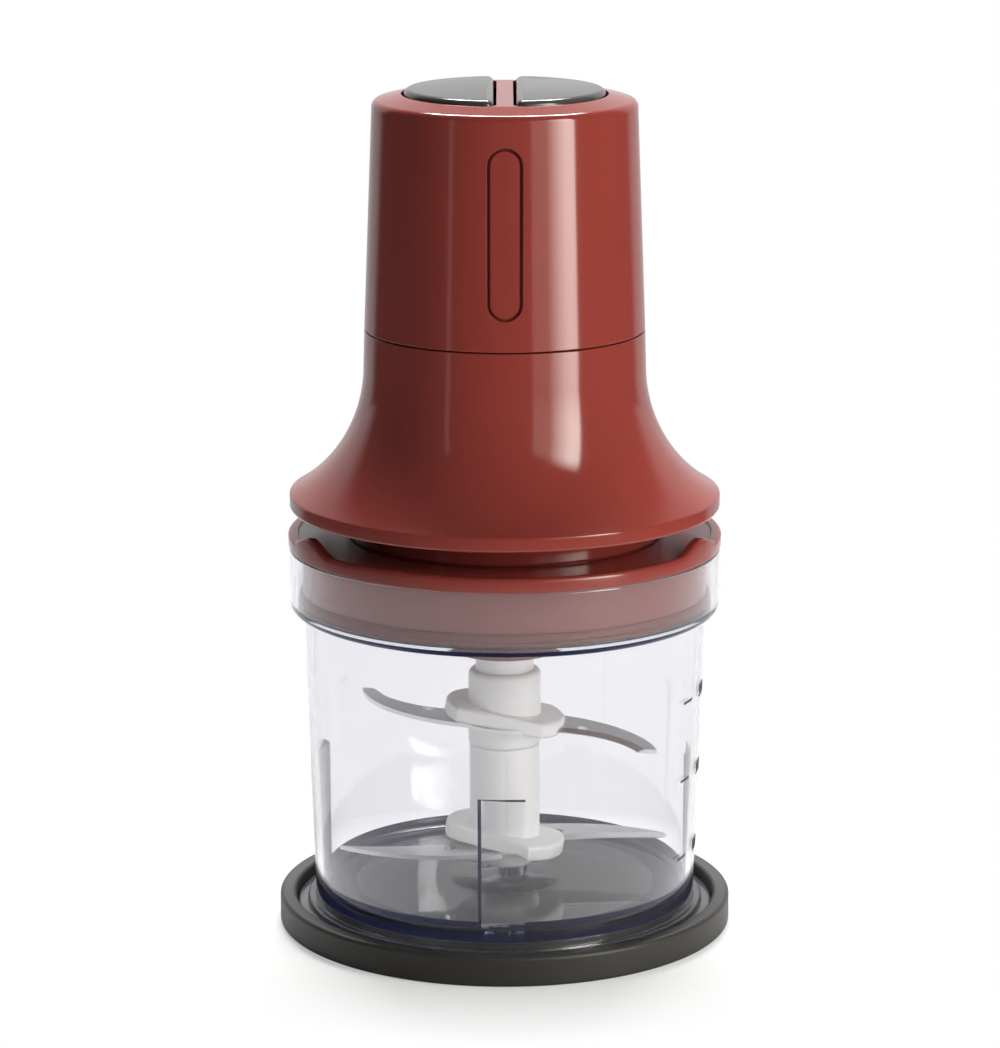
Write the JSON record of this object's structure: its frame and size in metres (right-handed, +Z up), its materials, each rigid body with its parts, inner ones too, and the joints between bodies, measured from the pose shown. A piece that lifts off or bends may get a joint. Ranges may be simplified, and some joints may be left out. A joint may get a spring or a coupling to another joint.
{
  "type": "electric food chopper",
  "caption": "Electric food chopper: motor head with push buttons, lid, clear bowl on a rubber mat, and S-shaped blades on one spindle driven through planetary gears.",
  "frame": {"origin": "on the surface that the mat stands on, under the bowl's axis", "axes": "+Z up along the spindle's axis, the front with the inlay faces -Y, +X to the right seen from the front"},
  "size_m": [0.13, 0.13, 0.2412],
  "materials": {
    "mat_rubber": "matte",
    "clear": "clear",
    "steel": "satin",
    "blade_steel": "brushed",
    "white": "satin",
    "lid_red": "gloss",
    "red": "gloss",
    "seal_red": "matte",
    "smoke": "gloss",
    "black_rubber": "matte",
    "black_plastic": "satin",
    "cream_plastic": "satin",
    "board": "satin",
    "case_metal": "cast",
    "bronze": "satin",
    "copper": "satin",
    "iron": "dull"
  },
  "bodies": {
    "mat": {"base_mat": "mat_rubber"},
    "bowl": {"bowl": "clear", "pivot_pin": "steel"},
    "blades": {"blade_spindle": "white", "upper_hub": "white", "lower_blade": "blade_steel", "upper_blade": "blade_steel"},
    "lid": {"lid": "lid_red", "lid_seal": "seal_red"},
    "head": {"head_base": "red", "lower_housing": "red", "upper_housing": "red", "grip_inlay": "red", "cord_gland": "black_rubber", "left_spring": "steel", "right_spring": "steel", "left_switch": "black_plastic", "right_switch": "black_plastic", "switch_plate": "cream_plastic", "control_board": "board", "gear_case": "case_metal", "ring_gear": "iron", "output_bush": "bronze", "shaft_seal": "black_rubber", "motor_plate": "case_metal", "motor_can": "steel", "field_magnets": "iron", "lower_bearing": "bronze", "upper_bearing": "bronze", "motor_end_bell": "black_plastic", "motor_brushes": "black_plastic", "cover_screws": "steel", "motor_screws": "steel", "plate_screws": "steel"},
    "left_button": {"left_button": "smoke", "left_plunger": "cream_plastic"},
    "right_button": {"right_button": "smoke", "right_plunger": "cream_plastic"},
    "rotor": {"motor_shaft": "steel", "armature": "iron", "armature_windings": "copper", "commutator": "copper", "sun_gear": "bronze"},
    "drive": {"planet_carrier": "iron", "planet_pins": "steel", "output_shaft": "steel", "drive_coupling": "white"},
    "planet_1": {"planet_gear_1": "cream_plastic"},
    "planet_2": {"planet_gear_2": "cream_plastic"},
    "planet_3": {"planet_gear_3": "cream_plastic"}
  },
  "joints": [
    {"name": "bowl_lift", "type": "slide", "parent": "mat", "child": "bowl", "axis": [0, 0, 1], "range_m": [0, 0.03]},
    {"name": "lid_lift", "type": "slide", "parent": "bowl", "child": "lid", "axis": [0, 0, 1], "range_m": [0, 0.06]},
    {"name": "head_lift", "type": "slide", "parent": "lid", "child": "head", "axis": [0, 0, 1], "range_m": [0, 0.06]},
    {"name": "left_button_press", "type": "slide", "parent": "head", "child": "left_button", "axis": [0, 0, -1], "range_m": [0, 0.0025], "stiffness_N_per_m": 600, "springref_m": -0.003, "deforming": ["left_spring"]},
    {"name": "right_button_press", "type": "slide", "parent": "head", "child": "right_button", "axis": [0, 0, -1], "range_m": [0, 0.0025], "stiffness_N_per_m": 600, "springref_m": -0.003, "deforming": ["right_spring"]},
    {"name": "motor_spin", "type": "hinge", "parent": "head", "child": "rotor", "pos_m": [0, 0, 0.16], "axis": [0, 0, 1], "continuous": true},
    {"name": "drive_spin", "type": "hinge", "parent": "head", "child": "drive", "pos_m": [0, 0, 0.11], "axis": [0, 0, 1], "continuous": true},
    {"name": "planet_1_spin", "type": "hinge", "parent": "drive", "child": "planet_1", "pos_m": [0.012, 0, 0.13], "axis": [0, 0, 1], "continuous": true},
    {"name": "planet_2_spin", "type": "hinge", "parent": "drive", "child": "planet_2", "pos_m": [-0.006, 0.01039, 0.13], "axis": [0, 0, 1], "continuous": true},
    {"name": "planet_3_spin", "type": "hinge", "parent": "drive", "child": "planet_3", "pos_m": [-0.006, -0.01039, 0.13], "axis": [0, 0, 1], "continuous": true},
    {"name": "blade_spin", "type": "hinge", "parent": "bowl", "child": "blades", "pos_m": [0, 0, 0.03], "axis": [0, 0, 1], "continuous": true}
  ],
  "couplings": [
    {"joint": "drive_spin", "follows": "motor_spin", "ratio": 0.2},
    {"joint": "planet_1_spin", "follows": "motor_spin", "ratio": -0.53333},
    {"joint": "planet_2_spin", "follows": "motor_spin", "ratio": -0.53333},
    {"joint": "planet_3_spin", "follows": "motor_spin", "ratio": -0.53333},
    {"joint": "blade_spin", "follows": "motor_spin", "ratio": 0.2}
  ]
}
